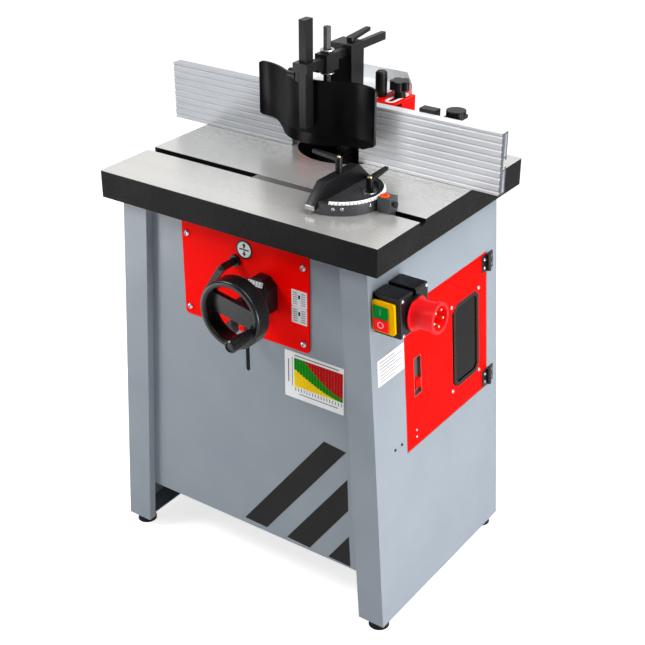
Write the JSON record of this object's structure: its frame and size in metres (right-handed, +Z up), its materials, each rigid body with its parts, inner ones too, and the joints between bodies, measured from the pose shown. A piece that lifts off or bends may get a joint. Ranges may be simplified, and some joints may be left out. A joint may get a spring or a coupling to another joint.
{
  "type": "spindle moulder",
  "caption": "Floor-standing spindle moulder: splayed sheet-steel cabinet, cast table, split fence with hood and guard, rise-and-fall hand wheel and sliding mitre gauge.",
  "frame": {"origin": "on the floor, at the middle of the machine's bounding box", "axes": "+X to the operator's right, +Y from the operator to the back, +Z up"},
  "size_m": [0.8032, 0.661, 1.136],
  "materials": {
    "grey_paint": "smooth powder coat",
    "red_paint": "smooth powder coat",
    "cast_iron": "ground top, black painted sides",
    "iron_casting": "painted casting",
    "rubber": "matt",
    "black_plastic": "fine grain",
    "black_paint": "satin",
    "machined_steel": "turned",
    "ground_iron": "turned",
    "aluminium": "anodised extrusion",
    "light_grey_paint": "smooth",
    "yellow_plastic": "gloss",
    "green_plastic": "gloss",
    "red_plastic": "gloss",
    "smoked_glass": "smoked polycarbonate",
    "grey_plastic": "fine grain"
  },
  "bodies": {
    "base": {"left_side_panel": "grey_paint", "right_side_panel": "grey_paint", "front_panel": "grey_paint", "rear_panel": "grey_paint", "rubber_feet": "rubber", "control_plate": "red_paint", "table": "cast_iron", "slideway": "iron_casting", "position_indicator": "black_plastic", "door_hinge_leaves": "black_plastic", "switch_box_rear": "black_plastic", "switch_box_front": "black_plastic", "switch_bezel": "yellow_plastic", "mains_inlet": "red_plastic"},
    "carriage": {"spindle_carriage": "iron_casting", "spindle_bearings": "machined_steel", "drive_belt": "rubber"},
    "motor": {"motor": "aluminium", "motor_plate": "machined_steel"},
    "rotor": {"motor_shaft": "machined_steel", "motor_pulley": "aluminium"},
    "spindle": {"spindle_shaft": "machined_steel", "spindle_pulley": "aluminium", "spindle_rings": "machined_steel"},
    "handwheel": {"handwheel": "black_plastic", "handwheel_shaft": "machined_steel", "crank_pin": "machined_steel"},
    "crank_grip": {"crank_grip": "black_plastic"},
    "lead_screw": {"lead_screw": "machined_steel", "crown_gear": "machined_steel"},
    "height_clamp_lever": {"height_clamp_lever": "black_paint"},
    "tension_knob": {"tension_knob": "machined_steel"},
    "door": {"door": "red_paint", "door_window": "smoked_glass", "door_hinge_flaps": "black_plastic", "latch_cup": "black_plastic"},
    "latch_slider": {"latch_slider": "red_plastic"},
    "stop_button": {"stop_button": "red_plastic"},
    "start_button": {"start_button": "green_plastic"},
    "hood": {"fence_hood": "red_paint", "hood_back_panel": "light_grey_paint", "dust_port": "light_grey_paint", "hood_handle": "black_plastic", "guard_post": "black_paint"},
    "left_fence": {"left_fence": "aluminium"},
    "fence_carrier": {"fence_carrier": "black_paint"},
    "right_fence": {"right_fence": "aluminium"},
    "star_knob": {"star_knob": "black_plastic"},
    "knurled_knob": {"knurled_knob": "black_plastic"},
    "guard_arm": {"guard_arm": "black_paint"},
    "guard": {"guard_tube": "black_paint", "guard_shield": "black_plastic"},
    "guard_lever": {"guard_lever": "black_plastic"},
    "guard_knob": {"guard_knob": "black_plastic"},
    "mitre_bar": {"mitre_bar": "machined_steel", "pointer_block": "light_grey_paint"},
    "mitre_head": {"mitre_head": "black_paint"},
    "mitre_fence": {"mitre_fence": "black_paint"},
    "mitre_head_lever": {"mitre_head_lever": "black_plastic"},
    "mitre_fence_lever": {"mitre_fence_lever": "black_plastic"}
  },
  "joints": [
    {"name": "carriage_lift", "type": "slide", "parent": "base", "child": "carriage", "axis": [0, 0, 1], "range_m": [-0.085, 0.015]},
    {"name": "motor_tension", "type": "slide", "parent": "carriage", "child": "motor", "axis": [1, 0, 0], "range_m": [-0.008, 0], "deforming": ["drive_belt"]},
    {"name": "rotor_spin", "type": "hinge", "parent": "motor", "child": "rotor", "pos_m": [0.17039, 0.1905, 0.482], "axis": [0, 0, 1], "continuous": true},
    {"name": "spindle_spin", "type": "hinge", "parent": "carriage", "child": "spindle", "pos_m": [0.00038, 0.1905, 0.482], "axis": [0, 0, 1], "continuous": true},
    {"name": "handwheel_turn", "type": "hinge", "parent": "base", "child": "handwheel", "pos_m": [0.05038, -0.2705, 0.675], "axis": [0, 1, 0], "range_deg": [-3061, 541]},
    {"name": "crank_grip_spin", "type": "hinge", "parent": "handwheel", "child": "crank_grip", "pos_m": [0.09952, -0.2705, 0.65261], "axis": [0, 1, 0], "continuous": true},
    {"name": "lead_screw_turn", "type": "hinge", "parent": "base", "child": "lead_screw", "pos_m": [0.05038, 0.0705, 0.45], "axis": [0, 0, 1], "range_deg": [-541, 3061]},
    {"name": "height_clamp_turn", "type": "hinge", "parent": "base", "child": "height_clamp_lever", "pos_m": [-0.01861, -0.1585, 0.725], "axis": [0, 1, 0], "range_deg": [-45, 45]},
    {"name": "tension_turn", "type": "hinge", "parent": "carriage", "child": "tension_knob", "pos_m": [0.00038, -0.1585, 0.606], "axis": [0, 1, 0], "range_deg": [-90, 0]},
    {"name": "door_hinge", "type": "hinge", "parent": "base", "child": "door", "pos_m": [0.30778, 0.2565, 0.51685], "axis": [-0.0695, 0, 0.9976], "range_deg": [0, 110]},
    {"name": "latch_slide", "type": "slide", "parent": "door", "child": "latch_slider", "axis": [-0.0695, 0, 0.9976], "range_m": [0, 0.014]},
    {"name": "stop_press", "type": "slide", "parent": "base", "child": "stop_button", "axis": [0, 1, 0], "range_m": [0, 0.003], "stiffness_N_per_m": 600},
    {"name": "start_press", "type": "slide", "parent": "base", "child": "start_button", "axis": [0, 1, 0], "range_m": [0, 0.003], "stiffness_N_per_m": 600},
    {"name": "hood_slide", "type": "slide", "parent": "base", "child": "hood", "axis": [0, 1, 0], "range_m": [0, 0.05]},
    {"name": "left_fence_slide", "type": "slide", "parent": "hood", "child": "left_fence", "axis": [1, 0, 0], "range_m": [-0.1, 0.05]},
    {"name": "carrier_slide", "type": "slide", "parent": "hood", "child": "fence_carrier", "axis": [0, 1, 0], "range_m": [-0.012, 0]},
    {"name": "right_fence_slide", "type": "slide", "parent": "fence_carrier", "child": "right_fence", "axis": [1, 0, 0], "range_m": [-0.03, 0.1]},
    {"name": "star_knob_turn", "type": "hinge", "parent": "fence_carrier", "child": "star_knob", "pos_m": [0.11439, 0.1958, 0.9733], "axis": [0, 0, 1], "range_deg": [-90, 90]},
    {"name": "knurled_knob_turn", "type": "hinge", "parent": "fence_carrier", "child": "knurled_knob", "pos_m": [0.25039, 0.1768, 0.9705], "axis": [0, 0, 1], "range_deg": [-90, 90]},
    {"name": "guard_reach", "type": "slide", "parent": "hood", "child": "guard_arm", "axis": [0, 1, 0], "range_m": [-0.015, 0]},
    {"name": "guard_height", "type": "slide", "parent": "guard_arm", "child": "guard", "axis": [0, 0, 1], "range_m": [-0.03, 0.012]},
    {"name": "guard_lever_turn", "type": "hinge", "parent": "hood", "child": "guard_lever", "pos_m": [0.00839, 0.182, 1.064], "axis": [0, 0, 1], "range_deg": [-60, 60]},
    {"name": "guard_knob_turn", "type": "hinge", "parent": "guard_arm", "child": "guard_knob", "pos_m": [-0.01012, 0.059, 1.027], "axis": [1, 0, 0], "range_deg": [-90, 90]},
    {"name": "mitre_slide", "type": "slide", "parent": "base", "child": "mitre_bar", "axis": [1, 0, 0], "range_m": [-0.4, 0.17]},
    {"name": "mitre_turn", "type": "hinge", "parent": "mitre_bar", "child": "mitre_head", "pos_m": [0.14399, -0.0475, 0.85], "axis": [0, 0, 1], "range_deg": [-45, 45]},
    {"name": "mitre_fence_slide", "type": "slide", "parent": "mitre_head", "child": "mitre_fence", "axis": [0, 1, 0], "range_m": [-0.03, 0]},
    {"name": "mitre_head_lever_turn", "type": "hinge", "parent": "mitre_head", "child": "mitre_head_lever", "pos_m": [0.19398, -0.0295, 0.85], "axis": [0, 0, 1], "range_deg": [0, 45]},
    {"name": "mitre_fence_lever_turn", "type": "hinge", "parent": "mitre_fence", "child": "mitre_fence_lever", "pos_m": [0.13828, -0.0475, 0.85], "axis": [0, 0, 1], "range_deg": [-45, 45]}
  ],
  "couplings": [
    {"joint": "handwheel_turn", "follows": "carriage_lift", "rad_per_m": 628.32},
    {"joint": "lead_screw_turn", "follows": "carriage_lift", "rad_per_m": -628.32},
    {"joint": "tension_turn", "follows": "motor_tension", "rad_per_m": 196},
    {"joint": "spindle_spin", "follows": "rotor_spin", "ratio": 1.439}
  ]
}
